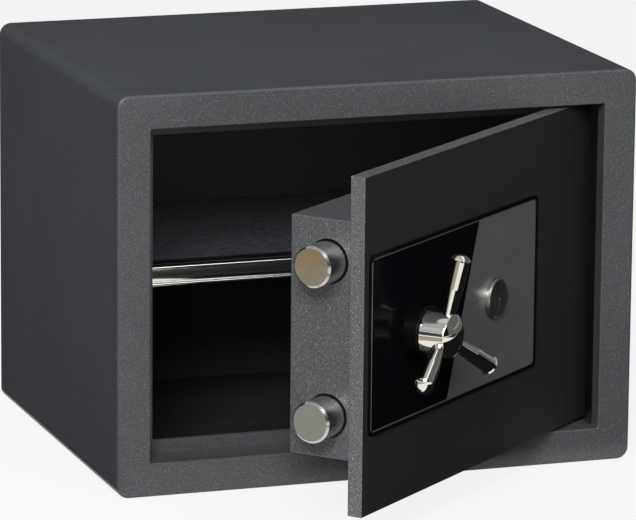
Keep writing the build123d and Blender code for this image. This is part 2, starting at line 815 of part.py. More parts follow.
# Carriage: a plate that joins both bolts, with an arm that runs over the cam, the studs and the lock.
lock_flange_z = middle_z + lock_case_above + lock_flange_gap
arm_top = lock_flange_z + lock_flange_sheet
arm_bottom = middle_z - arm_below
lock_hole_half = lock_bolt_width / 2 + lock_hole_clearance
arm_end_x = key_x + lock_hole_half + lock_flange_margin
flange_start_x = key_x - bolt_travel - lock_hole_half - lock_flange_margin
stud_x = handle_x + stud_x_from_handle
stud_spots = [(stud_x, middle_z + stud_upper), (stud_x, middle_z - stud_lower)]
flange_front = lock_bolt_depth - lock_hole_clearance - lock_flange_land
with BuildPart() as bolt_carriage:
    with BuildSketch(behind_door(plate_depth)):
        with Locations((carriage_x + bolt_flat_length / 2, middle_z)):
            Rectangle(bolt_flat_length, bolt_spacing + 2 * bolt_radius)
        with Locations(((carriage_x + arm_end_x) / 2, (arm_top + arm_bottom) / 2)):
            Rectangle(arm_end_x - carriage_x, arm_top - arm_bottom)
        with Locations([(carriage_screw_x, bolt_z) for _, bolt_z in bolt_heights]):
            Circle(carriage_screw_radius + press_fit_gap, mode=Mode.SUBTRACT)
        slot_half = cam_pin_radius + cam_pin_clearance
        slot_low = handle_z + cam_radius * cos(quarter) - slot_half
        slot_high = handle_z + cam_radius + slot_half
        with Locations((cam_pin_x, (slot_low + slot_high) / 2)):
            SlotOverall(slot_high - slot_low, 2 * slot_half, rotation=90, mode=Mode.SUBTRACT)
        stud_slot_half = stud_radius + face_gap
        with Locations([(x - bolt_travel / 2, z) for x, z in stud_spots]):
            stud_slot = bolt_travel + 2 * (stud_slot_half + stud_slot_end_gap)
            SlotOverall(stud_slot, 2 * stud_slot_half, mode=Mode.SUBTRACT)
    extrude(amount=-carriage_sheet)
    with BuildSketch(behind_door(flange_front)):
        with Locations(((flange_start_x + arm_end_x) / 2, lock_flange_z + lock_flange_sheet / 2)):
            Rectangle(arm_end_x - flange_start_x, lock_flange_sheet)
    extrude(amount=-(plate_depth - flange_front))
    with BuildSketch(behind_door(lock_bolt_depth - lock_hole_clearance)):
        with Locations([(x, lock_flange_z + lock_flange_sheet / 2) for x in (key_x, key_x - bolt_travel)]):
            Rectangle(2 * lock_hole_half, 2 * lock_flange_sheet)
    extrude(amount=-(lock_bolt_sheet + 2 * lock_hole_clearance), mode=Mode.SUBTRACT)
keep(bolt_carriage, "bolt_carriage")

with BuildPart() as carriage_screws:
    with BuildSketch(behind_door(plate_depth + carriage_sheet)):
        with Locations([(carriage_screw_x, bolt_z) for _, bolt_z in bolt_heights]):
            Circle(carriage_screw_head_radius)
    extrude(amount=-carriage_screw_head)
    with BuildSketch(behind_door(plate_depth + carriage_sheet)):
        with Locations([(carriage_screw_x, bolt_z) for _, bolt_z in bolt_heights]):
            Circle(carriage_screw_radius)
    extrude(amount=carriage_sheet + carriage_screw_length - screw_end_gap)
    with BuildSketch(behind_door(plate_depth + carriage_sheet + carriage_screw_head)):
        with Locations([(carriage_screw_x, bolt_z) for _, bolt_z in bolt_heights]):
            RegularPolygon(carriage_screw_key_radius, 6)
    extrude(amount=carriage_screw_key_depth, mode=Mode.SUBTRACT)
keep(carriage_screws, "carriage_screws")

# Shoulder studs guide the carriage's arm, and nuts keep it on them.
with BuildPart() as guide_studs:
    with BuildSketch(behind_door(0)):
        with Locations(stud_spots):
            Circle(stud_shoulder_radius)
    extrude(amount=-(plate_depth - face_gap))
    with BuildSketch(behind_door(plate_depth - face_gap)):
        with Locations(stud_spots):
            Circle(stud_radius)
    extrude(amount=-(carriage_sheet + 2 * face_gap + stud_nut + stud_proud))
keep(guide_studs, "guide_studs")

with BuildPart() as stud_nuts:
    with BuildSketch(behind_door(plate_depth + carriage_sheet + face_gap)):
        with Locations(stud_spots):
            RegularPolygon(stud_nut_width / 2, 6, major_radius=False)
            Circle(stud_radius + press_fit_gap, mode=Mode.SUBTRACT)
    extrude(amount=-stud_nut)
keep(stud_nuts, "stud_nuts")

# Guide blocks behind the box's free side carry the bolts.
guide_x = box_x + box_sheet + face_gap
guide_half = bolt_radius + guide_margin
for guide_name, bolt_z in (
    ("upper_bolt_guide", middle_z + bolt_spacing / 2),
    ("lower_bolt_guide", middle_z - bolt_spacing / 2),
):
    with BuildPart() as bolt_guide:
        with BuildSketch(behind_door(0)):
            with Locations((guide_x + guide_width / 2, bolt_z)):
                Rectangle(guide_width, 2 * guide_half)
        extrude(amount=-(bolt_axis_depth + bolt_radius + guide_back_margin))
        with BuildSketch(across_door(guide_x + guide_width, bolt_z)):
            Circle(bolt_radius + running_fit)
        extrude(amount=guide_width, mode=Mode.SUBTRACT)
    keep(bolt_guide, guide_name)

# Bolt box: a folded cover over the bolt work, with a round hole for each bolt in its free side.
box_middle_x = box_x + box_width / 2
box_low = middle_z - box_height / 2
box_high = middle_z + box_height / 2
post_spots = [
    (x, z)
    for x in (box_x + box_post_free_inset, box_x + box_width - box_post_hinge_inset)
    for z in (box_low + box_post_edge_inset, box_high - box_post_edge_inset)
]
with BuildPart() as bolt_box:
    with BuildSketch(behind_door(0)):
        with Locations((box_middle_x, middle_z)):
            Rectangle(box_width, box_height)
    extrude(amount=-box_depth)
    rear_face = bolt_box.faces().sort_by(axis_at(0, 0))[0]
    side_edges = bolt_box.edges().filter_by(axis_at(0, 0))
    fillet(rear_face.edges() + side_edges, box_edge_round)
    with BuildSketch(behind_door(0)):
        with Locations((box_middle_x, middle_z)):
            Rectangle(box_width - 2 * box_sheet, box_height - 2 * box_sheet)
    extrude(amount=-(box_depth - box_sheet), mode=Mode.SUBTRACT)
    for _, bolt_z in bolt_heights:
        with BuildSketch(across_door(box_x + box_sheet, bolt_z)):
            Circle(bolt_hole_radius)
        extrude(amount=box_sheet, mode=Mode.SUBTRACT)
    with BuildSketch(behind_door(box_depth)):
        with Locations(post_spots):
            Circle(box_screw_radius + press_fit_gap)
    extrude(amount=box_sheet, mode=Mode.SUBTRACT)
keep(bolt_box, "bolt_box")

with BuildPart() as box_posts:
    with BuildSketch(behind_door(0)):
        with Locations(post_spots):
            Circle(box_post_radius)
    extrude(amount=-(box_depth - box_sheet))
    with BuildSketch(behind_door(box_depth - box_sheet)):
        with Locations(post_spots):
            Circle(box_screw_radius + press_fit_gap)
    extrude(amount=box_screw_length, mode=Mode.SUBTRACT)
keep(box_posts, "box_posts")

with BuildPart() as box_screws:
    with BuildSketch(behind_door(box_depth)):
        with Locations(post_spots):
            Circle(box_screw_head_radius)
    extrude(amount=-box_screw_head)
    head_rims = box_screws.faces().group_by(axis_at(0, 0))[0].edges()
    fillet(head_rims, box_screw_round)
    with BuildSketch(behind_door(box_depth)):
        with Locations(post_spots):
            Circle(box_screw_radius)
    extrude(amount=box_sheet + box_screw_length - screw_end_gap)
    with BuildSketch(behind_door(box_depth + box_screw_head)):
        with Locations(post_spots):
            Rectangle(box_screw_cross, box_screw_slot)
            Rectangle(box_screw_slot, box_screw_cross)
    extrude(amount=box_screw_slot_depth, mode=Mode.SUBTRACT)
keep(box_screws, "box_screws")

# Hinge blocks on the door's back, each with the pin that turns in a bracket.
lower_block_z = frame_width + washer_thickness + face_gap
upper_block_z = case_height - frame_width - washer_thickness - face_gap - hinge_block_height
block_back = hinge_block_depth - hinge_setback
for end, block_z, pin_z in (
    ("lower", lower_block_z, frame_width - hinge_bracket_sheet - hinge_pin_tail),
    ("upper", upper_block_z, upper_block_z + hinge_block_height - hinge_pin_grip),
):
    pin_length = hinge_pin_tail + hinge_bracket_sheet + washer_thickness + face_gap + hinge_pin_grip
    with BuildPart() as hinge_block:
        with BuildSketch(level_at_hinge(block_z)):
            with Locations((0, block_back - hinge_block_depth / 2)):
                Rectangle(hinge_block_width, hinge_block_depth)
        extrude(amount=hinge_block_height)
        with BuildSketch(level_at_hinge(pin_z)):
            Circle(hinge_pin_radius + press_fit_gap)
        extrude(amount=pin_length, mode=Mode.SUBTRACT)
    keep(hinge_block, f"{end}_hinge_block")
    with BuildPart() as hinge_pin:
        with BuildSketch(level_at_hinge(pin_z)):
            Circle(hinge_pin_radius)
        extrude(amount=pin_length)
        chamfer(hinge_pin.edges().filter_by(GeomType.CIRCLE), hinge_pin_chamfer)
    keep(hinge_pin, f"{end}_hinge_pin")


def cut_keyhole():
    """The keyhole's outline: an upright slot with a round eye at its middle."""
    with Locations((key_x, middle_z)):
        SlotOverall(keyhole_height, keyhole_width, rotation=90)
        Circle(keyhole_eye_radius)


# Key escutcheon: a steel disc with a groove round its side and the keyhole, seated in the fascia and the door.
escutcheon_rings = (
    (0, escutcheon_base, escutcheon_radius),
    (escutcheon_base, escutcheon_base + escutcheon_groove, escutcheon_groove_radius),
    (escutcheon_base + escutcheon_groove, escutcheon_height, escutcheon_face_radius),
)
with BuildPart() as key_escutcheon:
    for ring_base, ring_top, ring_radius in escutcheon_rings:
        with BuildSketch(on_door(fascia_plate_thickness + ring_base)):
            with Locations((key_x, middle_z)):
                Circle(ring_radius)
        extrude(amount=ring_top - ring_base)
    rims = key_escutcheon.edges().filter_by(GeomType.CIRCLE).group_by(axis_at(0, 0))
    chamfer(rims[-1], escutcheon_chamfer)
    with BuildSketch(on_door(-bush_flange)):
        with Locations((key_x, middle_z)):
            Circle(escutcheon_spigot_radius)
    extrude(amount=bush_flange + fascia_plate_thickness)
    with BuildSketch(on_door(-bush_flange)):
        cut_keyhole()
    extrude(amount=bush_flange + fascia_plate_thickness + escutcheon_height, mode=Mode.SUBTRACT)
keep(key_escutcheon, "key_escutcheon")

# Key barrel: turns in the door behind the keyhole. A pin on its flange drives the lock bolt.
barrel_front = -bush_flange - face_gap
barrel_pin_x = key_x - barrel_pin_reach * cos(quarter)
barrel_pin_z = middle_z - barrel_pin_reach * sin(quarter)
with BuildPart() as key_barrel:
    with BuildSketch(on_door(barrel_front)):
        with Locations((key_x, middle_z)):
            Circle(barrel_radius)
    extrude(amount=-(door_thickness + barrel_flange_depth + barrel_front))
    with BuildSketch(behind_door(barrel_flange_depth)):
        with Locations((key_x, middle_z)):
            Circle(barrel_flange_radius)
    extrude(amount=-barrel_flange)
    with BuildSketch(on_door(barrel_front)):
        cut_keyhole()
    extrude(amount=-(door_thickness + barrel_flange_depth + barrel_front), mode=Mode.SUBTRACT)
    with BuildSketch(behind_door(barrel_flange_depth + barrel_flange)):
        with Locations((barrel_pin_x, barrel_pin_z)):
            Circle(barrel_pin_radius)
    extrude(amount=-barrel_pin_length)
keep(key_barrel, "key_barrel")

# Lock bolt: a plate with a level slot for the barrel's pin, and a shank that rises out of the lock case.
lock_top = middle_z + lock_case_above
shank_low = middle_z + lock_bolt_shoulder - lock_bolt_travel / 2
with BuildPart() as lock_bolt:
    with BuildSketch(behind_door(lock_bolt_depth)):
        tail_low = middle_z - lock_bolt_tail_drop
        with Locations((key_x, (tail_low + shank_low) / 2)):
            Rectangle(lock_bolt_tail_width, shank_low - tail_low)
        with Locations((key_x, (shank_low + lock_top + lock_bolt_proud) / 2)):
            Rectangle(lock_bolt_width, lock_top + lock_bolt_proud - shank_low)
        slot_half = barrel_pin_radius + lock_pin_clearance
        slot_left = key_x - barrel_pin_reach - slot_half
        slot_right = barrel_pin_x + slot_half
        with Locations(((slot_left + slot_right) / 2, barrel_pin_z)):
            SlotOverall(slot_right - slot_left, 2 * slot_half, mode=Mode.SUBTRACT)
    extrude(amount=-lock_bolt_sheet)
keep(lock_bolt, "lock_bolt")

# Lock case, its cover and their four long screws into the door.
lock_low = middle_z - lock_case_below
lock_middle_z = (lock_low + lock_top) / 2
lock_case_height = lock_top - lock_low
lock_screw_spots = [
    (key_x + sx * (lock_case_width / 2 - lock_screw_inset), z)
    for sx in (-1, 1)
    for z in (lock_low + lock_screw_inset, lock_top - lock_screw_inset)
]
with BuildPart() as lock_case:
    with BuildSketch(behind_door(0)):
        with Locations((key_x, lock_middle_z)):
            Rectangle(lock_case_width, lock_case_height)
    extrude(amount=-lock_case_depth)
    with BuildSketch(behind_door(lock_case_sheet)):
        with Locations((key_x, lock_middle_z)):
            Rectangle(lock_case_width - 2 * lock_case_sheet, lock_case_height - 2 * lock_case_sheet)
    extrude(amount=-(lock_case_depth - lock_case_sheet), mode=Mode.SUBTRACT)
    with BuildSketch(behind_door(lock_case_sheet)):
        with Locations(lock_screw_spots):
            Circle(lock_post_radius)
    extrude(amount=-(lock_case_depth - lock_case_sheet))
    with BuildSketch(behind_door(0)):
        with Locations((key_x, middle_z)):
            Circle(barrel_radius + face_gap)
        with Locations(lock_screw_spots):
            Circle(lock_screw_radius + press_fit_gap)
    extrude(amount=-lock_case_depth, mode=Mode.SUBTRACT)
    with BuildSketch(behind_door(lock_bolt_depth - face_gap)):
        with Locations((key_x, lock_top)):
            Rectangle(lock_bolt_width + 2 * face_gap, 4 * lock_case_sheet)
    extrude(amount=-(lock_bolt_sheet + 2 * face_gap), mode=Mode.SUBTRACT)
keep(lock_case, "lock_case")

with BuildPart() as lock_cover:
    with BuildSketch(behind_door(lock_case_depth)):
        with Locations((key_x, lock_middle_z)):
            Rectangle(lock_case_width, lock_case_height)
        with Locations(lock_screw_spots):
            Circle(lock_screw_radius + press_fit_gap, mode=Mode.SUBTRACT)
    extrude(amount=-lock_cover_sheet)
keep(lock_cover, "lock_cover")

with BuildPart() as lock_screws:
    with BuildSketch(behind_door(lock_case_depth + lock_cover_sheet)):
        with Locations(lock_screw_spots):
            Circle(lock_screw_head_radius)
    extrude(amount=-lock_screw_head)
    with BuildSketch(behind_door(lock_case_depth + lock_cover_sheet)):
        with Locations(lock_screw_spots):
            Circle(lock_screw_radius)
    extrude(amount=lock_case_depth + lock_cover_sheet)
keep(lock_screws, "lock_screws")
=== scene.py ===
import json
import math

import bmesh
import bpy
from mathutils import Matrix, Vector, noise


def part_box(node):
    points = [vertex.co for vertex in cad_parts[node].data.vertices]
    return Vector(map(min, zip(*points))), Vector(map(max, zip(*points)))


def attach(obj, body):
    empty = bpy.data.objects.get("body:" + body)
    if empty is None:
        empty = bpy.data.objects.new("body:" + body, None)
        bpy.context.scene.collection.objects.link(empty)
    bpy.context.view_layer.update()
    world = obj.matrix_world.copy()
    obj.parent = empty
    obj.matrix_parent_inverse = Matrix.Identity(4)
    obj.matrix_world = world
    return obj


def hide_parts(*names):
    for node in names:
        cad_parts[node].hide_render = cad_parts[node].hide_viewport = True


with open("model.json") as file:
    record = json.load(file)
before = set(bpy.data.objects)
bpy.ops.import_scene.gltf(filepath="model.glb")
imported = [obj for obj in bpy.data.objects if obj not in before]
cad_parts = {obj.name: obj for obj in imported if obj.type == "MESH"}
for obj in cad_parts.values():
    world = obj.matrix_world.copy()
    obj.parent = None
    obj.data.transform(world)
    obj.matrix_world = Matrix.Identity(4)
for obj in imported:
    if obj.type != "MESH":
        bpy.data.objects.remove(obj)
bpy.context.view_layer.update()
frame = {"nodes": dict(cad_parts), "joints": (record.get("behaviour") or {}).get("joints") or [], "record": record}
nodes = frame["nodes"]
joints = {joint["name"]: joint for joint in frame["joints"]}

# Directions of the open door, from its joints
inward = Vector(joints["handle_turn"]["axis"])
along = Vector(joints["bolt_slide"]["axis"])
key_centre = Vector(joints["key_turn"]["pos_m"])


def scaled(colour, factor):
    return tuple(factor * c for c in colour)


class Shader:
    """A node material with a Principled shader, in the object's own coordinates."""

    def __init__(self, name):
        self.material = bpy.data.materials.new(name)
        self.material.use_nodes = True
        self.tree = self.material.node_tree
        self.bsdf = self.tree.nodes["Principled BSDF"]
        coordinates = self.tree.nodes.new("ShaderNodeTexCoord")
        self.place = coordinates.outputs["Object"]
        self.normal = coordinates.outputs["Normal"]

    def add(self, kind, inputs=(), **settings):
        made = self.tree.nodes.new("ShaderNode" + kind)
        for key, value in settings.items():
            setattr(made, key, value)
        for key, value in dict(inputs).items():
            self.join(value, made.inputs[key])
        return made

    def join(self, value, socket):
        if isinstance(value, bpy.types.NodeSocket):
            self.tree.links.new(value, socket)
        else:
            socket.default_value = value

    def set(self, **values):
        """Sets inputs of the Principled shader. Underscores stand for spaces."""
        for key, value in values.items():
            self.join(value, self.bsdf.inputs[key.replace("_", " ")])

    def source(self, name):
        """What is linked to an input of the Principled shader."""
        return self.bsdf.inputs[name].links[0].from_socket

    def math(self, operation, a, b):
        return self.add("Math", {0: a, 1: b}, operation=operation).outputs[0]

    def vector(self, operation, a, b=(0, 0, 0)):
        b = b if isinstance(b, bpy.types.NodeSocket) else tuple(b)
        return self.add("VectorMath", {0: a, 1: b}, operation=operation)

    def dot(self, a, b):
        return self.vector("DOT_PRODUCT", a, b).outputs["Value"]

    def noise(self, scale, detail=2.0, roughness=0.5, stretch=None):
        place = self.place
        if stretch:
            place = self.vector("MULTIPLY", place, stretch).outputs[0]
        inputs = {"Vector": place, "Scale": scale, "Detail": detail, "Roughness": roughness}
        return self.add("TexNoise", inputs).outputs["Fac"]

    def cells(self, scale, smoothness=0.6):
        inputs = {"Vector": self.place, "Scale": scale, "Smoothness": smoothness}
        return self.add("TexVoronoi", inputs, feature="SMOOTH_F1").outputs["Distance"]

    def spread(self, value, span, onto=(0.0, 1.0)):
        """Maps the values of a span onto another one, and holds them at its ends."""
        inputs = {"Value": value, "From Min": span[0], "From Max": span[1]}
        inputs.update({"To Min": onto[0], "To Max": onto[1]})
        return self.add("MapRange", inputs).outputs[0]

    def blend(self, share, a, b):
        made = self.add("Mix", data_type="RGBA")
        self.join(share, made.inputs["Factor"])
        for value, socket in ((a, made.inputs[6]), (b, made.inputs[7])):
            self.join((*value, 1.0) if isinstance(value, tuple) else value, socket)
        return made.outputs[2]

    def bump(self, height, depth, strength=1.0, under=None):
        inputs = {"Height": height, "Distance": depth, "Strength": strength}
        if under is not None:
            inputs["Normal"] = under
        return self.add("Bump", inputs).outputs["Normal"]

    def from_axis(self, point, direction):
        """Distance from an axis, in metres."""
        arm = self.vector("SUBTRACT", self.place, point).outputs[0]
        across = self.vector("CROSS_PRODUCT", arm, direction).outputs[0]
        return self.vector("LENGTH", across).outputs["Value"]

    def faces(self, direction, least):
        """1 where the surface faces a direction, else 0."""
        return self.math("GREATER_THAN", self.dot(self.normal, direction), least)


# The middle part of a noise's values, where most of it lies
middle_span = (0.3, 0.7)


def powder_coat(
    name, dark, light, roughness=0.45, grain=900.0, peel=0.00016, contrast=1.0
):
    """Fine-grained metallic powder coat with an orange-peel surface."""
    patch_scale, patch_swing = 9.0, 0.08
    flake_gain, rough_swing = 2.6, 0.07
    s = Shader(name)
    grains = s.noise(grain, detail=3.0, roughness=0.65)
    tone_span = (0.5 - 0.5 * contrast, 0.5 + 0.5 * contrast)
    patches = s.spread(s.noise(patch_scale), middle_span, (-patch_swing, patch_swing))
    tone = s.math("ADD", s.spread(grains, (0.36, 0.66), tone_span), patches)
    flakes = s.spread(s.noise(grain * 1.3, detail=1.0), (0.64, 0.72), (0.0, contrast))
    colour = s.blend(flakes, s.blend(tone, dark, light), scaled(light, flake_gain))
    rough_span = (roughness + rough_swing, roughness - rough_swing)
    s.set(Base_Color=colour, Metallic=0.25)
    s.set(Roughness=s.spread(grains, (0.35, 0.7), rough_span))
    s.set(Normal=s.bump(s.cells(430.0), peel, 0.8, s.bump(grains, peel * 0.5)))
    return s


def black_paint(name):
    """Thin black paint with a very fine grain."""
    colour, roughness = (0.002, 0.002, 0.0028), 0.34
    s = Shader(name)
    patches = s.noise(14.0, detail=3.0, roughness=0.6)
    s.set(Base_Color=s.blend(s.spread(patches, middle_span), colour, scaled(colour, 1.25)))
    s.set(Roughness=s.spread(patches, middle_span, (roughness - 0.04, roughness + 0.05)))
    s.set(Normal=s.bump(s.noise(1800.0), 0.00003), Specular_IOR_Level=0.15)
    return s


def metal(name, colour, roughness, stretch=None, depth=0.00001, wear=0.1):
    """Plated or bare metal with fine marks. stretch draws its grain out along the small axis."""
    s = Shader(name)
    cloud = s.noise(60.0, detail=4.0, roughness=0.6)
    grain = s.noise(260.0, detail=3.0, roughness=0.6, stretch=stretch)
    marks = s.math("MULTIPLY", cloud, grain)
    tone = s.blend(s.spread(cloud, middle_span), scaled(colour, 0.93), colour)
    s.set(Base_Color=tone, Metallic=1.0, Normal=s.bump(grain, depth))
    s.set(Roughness=s.spread(marks, (0.1, 0.45), (roughness, roughness + wear)))
    return s


def turned(name, colour, end_roughness, side_roughness, axis, pitch, depth, wear):
    """Metal with turning rings on the end of an axis, which is a point and a direction."""
    point, direction = axis
    s = Shader(name)
    turns = s.math("MULTIPLY", s.from_axis(point, direction), 2 * math.pi / pitch)
    rings = s.math("SINE", turns, 0.0)
    cloud = s.noise(90.0, detail=4.0, roughness=0.6)
    end = s.faces(direction, 0.8)
    tone = s.blend(s.spread(cloud, middle_span), scaled(colour, 0.9), colour)
    base = s.spread(end, (0.0, 1.0), (side_roughness, end_roughness))
    s.set(Base_Color=tone, Metallic=1.0)
    s.set(Roughness=s.math("ADD", base, s.spread(cloud, middle_span, (0.0, wear))))
    s.set(Normal=s.bump(s.math("MULTIPLY", rings, end), depth, 1.0, s.bump(cloud, depth)))
    return s


def felt(name, dark, light, front=None):
    """Needle felt: short fibres over soft clumps. front is the Y of an edge along which the felt is darkened as
    painted shade.
    """
    edge_shade_span = (0.0015, 0.003)
    s = Shader(name)
    fibres = s.noise(1100.0, detail=4.0, roughness=0.75)
    crossing = s.noise(330.0, detail=4.0, roughness=0.75, stretch=(0.7, 1.6, 1.0))
    clumps = s.noise(70.0, detail=3.0, roughness=0.6)
    fine = s.spread(fibres, (0.35, 0.7), (0.25, 1.0))
    tone = s.math("MULTIPLY", fine, s.spread(crossing, (0.4, 0.62), (0.0, 1.6)))
    tone = s.math("ADD", tone, s.spread(clumps, middle_span, (-0.15, 0.15)))
    # Along the front edge the felt is darkened, as painted shade
    if front is not None:
        depth = s.dot(s.place, (0, 1, 0))
        tone = s.math("MULTIPLY", tone, s.spread(depth, [front + edge for edge in edge_shade_span]))
    s.set(Base_Color=s.blend(tone, dark, light), Roughness=0.95)
    s.set(Sheen_Weight=0.04, Sheen_Roughness=0.5, Specular_IOR_Level=0.06)
    s.set(Normal=s.bump(fibres, 0.0006, 0.9, s.bump(crossing, 0.0008, 0.7)))
    return s


def dress(shader, *names):
    for name in names:
        materials = nodes[name].data.materials
        materials.clear()
        materials.append(shader.material)


def paint_over(shader, share, colour):
    """Lays a colour over a shader's own where share is 1."""
    shader.set(Base_Color=shader.blend(share, shader.source("Base Color"), colour))


# Case: one coat outside, a little bluer on the wrap, and a darker paint inside as painted shade; lighter copies of
# the coat on the bolt box and door edges are painted light
coat = ((0.06, 0.062, 0.066), (0.145, 0.151, 0.159))
wrap_paint = ((0.0558, 0.0595, 0.067), (0.135, 0.145, 0.161))
# The inner paint is the coat darkened, as painted shade inside the case
inside_shade_paint = ((0.021, 0.0215, 0.025), (0.049, 0.051, 0.058))
# The box and door-edge paints are the coat made lighter, as painted light on sides facing the key lamp
lit_box_paint = [scaled(tone, 1.2) for tone in coat]
lit_edge_paint = [scaled(tone, 1.55) for tone in coat]
fine_grain = 1100.0


def paint_inside_shade(shader, inside):
    """Lays the inner paint, a painted shade, over the coat where inside is 1."""
    grains = shader.spread(shader.noise(800.0, detail=3.0), (0.35, 0.65))
    paint_over(shader, inside, shader.blend(grains, *inside_shade_paint))


outside = powder_coat("case_coat", *coat, 0.45, fine_grain, peel=0.00014, contrast=0.6)
dress(outside, "front_frame", "door_recess", "door_stop")
# The bolt box wears the lighter copy of the coat, as painted light
lit_box_coat = powder_coat("lit_box_coat", *lit_box_paint, 0.42, fine_grain, peel=0.00018)
dress(lit_box_coat, "bolt_box")
dress(powder_coat("hinge_coat", *coat), "upper_hinge_block", "lower_hinge_block")

wrap = powder_coat("wrap_coat", *wrap_paint, 0.5, fine_grain, peel=0.00006, contrast=0.35)
case_axis = Vector((0, 0, 0.13))
from_middle = wrap.vector("SUBTRACT", wrap.place, case_axis).outputs[0]
sideways = wrap.vector("MULTIPLY", from_middle, (1, 0, 1)).outputs[0]
# The wrap's inner faces get the inner paint as painted shade
paint_inside_shade(wrap, wrap.math("LESS_THAN", wrap.dot(wrap.normal, sideways), -0.001))
dress(wrap, "body_wrap")

panel = powder_coat("panel_coat", *coat)
# The panel's inner face gets the inner paint as painted shade
paint_inside_shade(panel, panel.faces((0, -1, 0), 0.5))
dress(panel, "back_panel")
# Parts inside the case wear the inner paint, as painted shade
dress(
    powder_coat("inside_shade_coat", *inside_shade_paint),
    "shelf",
    "left_shelf_support",
    "right_shelf_support",
    "upper_hinge_bracket",
    "lower_hinge_bracket",
)

# Door plate: smooth near-black face, powder-coated edges and back in a lighter copy of the case coat, as painted
# light
face_paint = ((0.0255, 0.0255, 0.026), (0.0285, 0.0285, 0.029))
face_roughness, face_peel = 0.55, 0.12
door = powder_coat("door_coat", *lit_edge_paint, 0.42, fine_grain, peel=0.00018)
face = door.faces(-inward, 0.9)
face_noise = door.noise(12.0, detail=3.0)
paint_over(door, face, door.blend(door.spread(face_noise, middle_span), *face_paint))
mixed = door.add("Mix", data_type="FLOAT")
for value, socket in ((face, 0), (door.source("Roughness"), 2), (face_roughness, 3)):
    door.join(value, mixed.inputs[socket])
door.set(Roughness=mixed.outputs[0])
for bump in [n for n in door.tree.nodes if n.type == "BUMP"]:
    strength = bump.inputs["Strength"].default_value
    weaker = door.spread(face, (0.0, 1.0), (strength, strength * face_peel))
    door.join(weaker, bump.inputs["Strength"])
dress(door, "door_plate")

# Fascia: black surround with a silver line along its inner free edge, painted as a highlight of that edge, silver
# plate, gloss inlay
dress(black_paint("black_trim"), "handle_collar")

# Width and end gap of the silver line painted as an edge highlight
edge_highlight_width, edge_highlight_end = 0.0008, 0.002
plate_low, plate_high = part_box("fascia_plate")
plate_left = min(v.co.dot(along) for v in nodes["fascia_plate"].data.vertices)
surround = black_paint("black_surround")
reach = surround.dot(surround.place, along)
level = surround.dot(surround.place, (0, 0, 1))
edge_highlight = surround.faces(-inward, 0.9)
for operation, value, limit in (
    ("GREATER_THAN", reach, plate_left - edge_highlight_width),
    ("LESS_THAN", reach, plate_left + edge_highlight_width),
    ("GREATER_THAN", level, plate_low[2] + edge_highlight_end),
    ("LESS_THAN", level, plate_high[2] - edge_highlight_end),
):
    edge_highlight = surround.math("MULTIPLY", edge_highlight, surround.math(operation, value, limit))
# The silver line is a painted highlight of the surround's inner edge
paint_over(surround, edge_highlight, (0.5, 0.5, 0.53))
surround.set(Metallic=surround.math("MULTIPLY", edge_highlight, 0.7))
dress(surround, "fascia_surround")

silver = metal("satin_silver", (0.35, 0.35, 0.375), 0.36, depth=0.000006, wear=0.05)
silver.set(Metallic=0.7)
dress(silver, "fascia_plate")

gloss = Shader("gloss_black")
smudge = gloss.noise(35.0, detail=4.0, roughness=0.6)
gloss.set(Base_Color=gloss.blend(smudge, (0.0036, 0.0036, 0.0052), (0.005, 0.005, 0.0072)))
gloss.set(Roughness=gloss.spread(smudge, (0.35, 0.7), (0.14, 0.2)), Specular_IOR_Level=0.012)
gloss.set(Normal=gloss.bump(gloss.noise(25.0), 0.00002))
dress(gloss, "fascia_inlay")

# Bright parts
for name in ("upper_bolt", "lower_bolt"):
    low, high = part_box(name)
    bolt_chrome = turned(
        name + "_chrome",
        (0.68, 0.68, 0.66),
        end_roughness=0.03,
        side_roughness=0.2,
        axis=((Vector(low) + Vector(high)) / 2, -along),
        pitch=0.0006,
        depth=0.000002,
        wear=0.03,
    )
    dress(bolt_chrome, name)
chrome = metal("handle_chrome", (0.9, 0.89, 0.83), 0.035, depth=0.000002, wear=0.03)
dress(chrome, "handle_hub", "handle_spoke_1", "handle_spoke_2", "handle_spoke_3")
trim_chrome = metal(
    "trim_chrome", (0.9, 0.92, 0.86), 0.1, stretch=(0.02, 1.0, 1.0), depth=0.0000002, wear=0.01
)
dress(trim_chrome, "shelf_trim")
key_steel = turned(
    "key_plate_steel",
    (0.55, 0.54, 0.5),
    end_roughness=0.3,
    side_roughness=0.32,
    axis=(key_centre, -inward),
    pitch=0.0005,
    depth=0.000004,
    wear=0.06,
)
dress(key_steel, "key_escutcheon")

# Inner works
dress(
    metal("zinc_plate", (0.62, 0.62, 0.58), 0.32, depth=0.00002, wear=0.12),
    "shelf_screws",
    "box_screws",
    "box_posts",
    "bolt_carriage",
    "carriage_screws",
    "cam_disc",
    "cam_screw",
    "guide_studs",
    "stud_nuts",
    "lock_case",
    "lock_cover",
    "lock_screws",
)
dress(
    metal("ground_steel", (0.56, 0.56, 0.56), 0.25, stretch=(1.0, 1.0, 0.05)),
    "handle_spindle",
    "cam_pin",
    "hub_set_screw",
    "upper_hinge_pin",
    "lower_hinge_pin",
    "lock_bolt",
)
dress(metal("dark_oxide", (0.05, 0.05, 0.055), 0.4), "upper_bolt_guide", "lower_bolt_guide")
brass = metal("turned_brass", (0.72, 0.52, 0.24), 0.25, stretch=(1.0, 1.0, 0.1), wear=0.12)
dress(brass, "key_barrel", "spindle_bush", "hinge_washer")


# Carpets
def as_object(name, bm):
    """Makes an object of a bmesh, and frees the bmesh."""
    mesh = bpy.data.meshes.new(name)
    bm.to_mesh(mesh)
    bm.free()
    obj = bpy.data.objects.new(name, mesh)
    bpy.context.scene.collection.objects.link(obj)
    return obj


